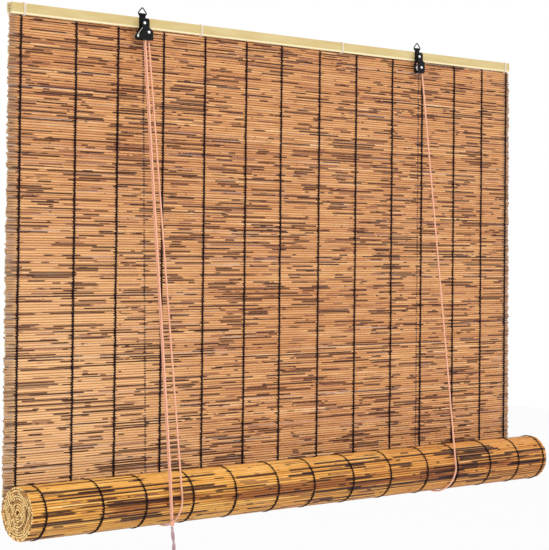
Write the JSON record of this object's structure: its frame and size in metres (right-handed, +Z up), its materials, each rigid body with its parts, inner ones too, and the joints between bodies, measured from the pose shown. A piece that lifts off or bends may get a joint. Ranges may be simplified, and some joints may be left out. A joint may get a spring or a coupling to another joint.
{
  "type": "reed roll up blind",
  "caption": "Partly rolled reed blind hung by two wire rings, with lift cords that loop under the roll, a cord lock and a pull cord",
  "frame": {"origin": "middle of the hanging line, which joins the points where two hooks bear inside the wire rings", "axes": "+X along the blind to the right as seen from the room, +Y away from the room towards the window, +Z up"},
  "size_m": [1.035, 0.098, 0.8499],
  "materials": {
    "bamboo_slat": "smooth pale yellow bamboo with a light varnish",
    "reed": "tan and orange reed with brown and purplish streaks",
    "rolled_reed": "golden to deep orange reed, lit from behind",
    "warp_thread": "twisted dark brown thread",
    "tie_thread": "pale twisted thread",
    "black_steel": "black enamel with worn edges",
    "bright_rivet": "bright nickel plate",
    "wheel_nylon": "white nylon",
    "roller_steel": "knurled grey steel",
    "ring_wire": "black enamelled wire",
    "pink_cord": "salmon pink braided cord",
    "tail_cord": "greyish purple twisted cord, darkened by handling"
  },
  "bodies": {
    "head": {"batten_front": "bamboo_slat", "batten_back": "bamboo_slat", "batten_ties": "tie_thread", "reeds_in_batten": "reed", "reeds_upper": "reed", "reeds_lower": "reed", "warps_upper": "warp_thread", "warps_lower": "warp_thread", "lock_back_plate": "black_steel", "lock_front_plate": "black_steel", "pulley_back_plate": "black_steel", "pulley_front_plate": "black_steel", "fixing_screws": "bright_rivet", "sleeves": "bright_rivet", "lock_axle": "bright_rivet", "pulley_axle": "bright_rivet", "rear_knots": "pink_cord", "lift_cord_front_left": "pink_cord", "lift_cord_front_right": "pink_cord", "lift_cord_rear_left": "pink_cord", "lift_cord_rear_right": "pink_cord", "lock_cord": "pink_cord", "cross_cord": "pink_cord", "pull_cord_back": "pink_cord", "pull_cord_front": "pink_cord"},
    "lift_loops": {"lift_loop_left": "pink_cord", "lift_loop_right": "pink_cord"},
    "roll": {"rolled_screen": "rolled_reed", "rolled_warps": "warp_thread"},
    "pull_tail": {"cord_knot": "pink_cord", "pull_tail": "tail_cord", "cord_coil": "tail_cord", "coil_tie": "tie_thread", "tail_end": "tail_cord"},
    "lock_pulley": {"lock_pulley": "wheel_nylon"},
    "pulley_wheel": {"pulley_wheel": "wheel_nylon"},
    "locking_roller": {"locking_roller": "roller_steel"},
    "ring_left": {"ring_left": "ring_wire"},
    "ring_right": {"ring_right": "ring_wire"}
  },
  "joints": [
    {"name": "roll_lift", "type": "slide", "parent": "head", "child": "lift_loops", "axis": [0, 0, 1], "range_m": [0, 0.56], "deforming": ["reeds_lower", "warps_lower", "lift_cord_front_left", "lift_cord_front_right", "lift_cord_rear_left", "lift_cord_rear_right"]},
    {"name": "roll_spin", "type": "hinge", "parent": "lift_loops", "child": "roll", "pos_m": [0, -0.0285, -0.6776], "axis": [1, 0, 0], "range_deg": [-905, 0]},
    {"name": "pull_cord", "type": "slide", "parent": "head", "child": "pull_tail", "axis": [0, 0, 1], "range_m": [-1.12, 0], "deforming": ["pull_cord_back", "pull_cord_front"]},
    {"name": "lock_pulley_spin", "type": "hinge", "parent": "head", "child": "lock_pulley", "pos_m": [-0.2812, -0.00395, -0.0333], "axis": [0, 1, 0], "range_deg": [-16460, 0]},
    {"name": "pulley_wheel_spin", "type": "hinge", "parent": "head", "child": "pulley_wheel", "pos_m": [0.2719, -0.00395, -0.0382], "axis": [0, 1, 0], "range_deg": [-11670, 0]},
    {"name": "locking_roller_slide", "type": "slide", "parent": "head", "child": "locking_roller", "axis": [0.6196, 0, 0.7849], "range_m": [0, 0.0143]},
    {"name": "ring_left_swing", "type": "hinge", "parent": "head", "child": "ring_left", "pos_m": [-0.286, 0, -0.0086], "axis": [1, 0, 0], "range_deg": [-75, 75]},
    {"name": "ring_right_swing", "type": "hinge", "parent": "head", "child": "ring_right", "pos_m": [0.2706, 0, -0.0086], "axis": [1, 0, 0], "range_deg": [-75, 75]}
  ],
  "couplings": [
    {"joint": "roll_spin", "follows": "roll_lift", "rad_per_m": -28.169},
    {"joint": "pull_cord", "follows": "roll_lift", "ratio": -2},
    {"joint": "lock_pulley_spin", "follows": "roll_lift", "rad_per_m": -512.82},
    {"joint": "pulley_wheel_spin", "follows": "roll_lift", "rad_per_m": -363.64}
  ]
}
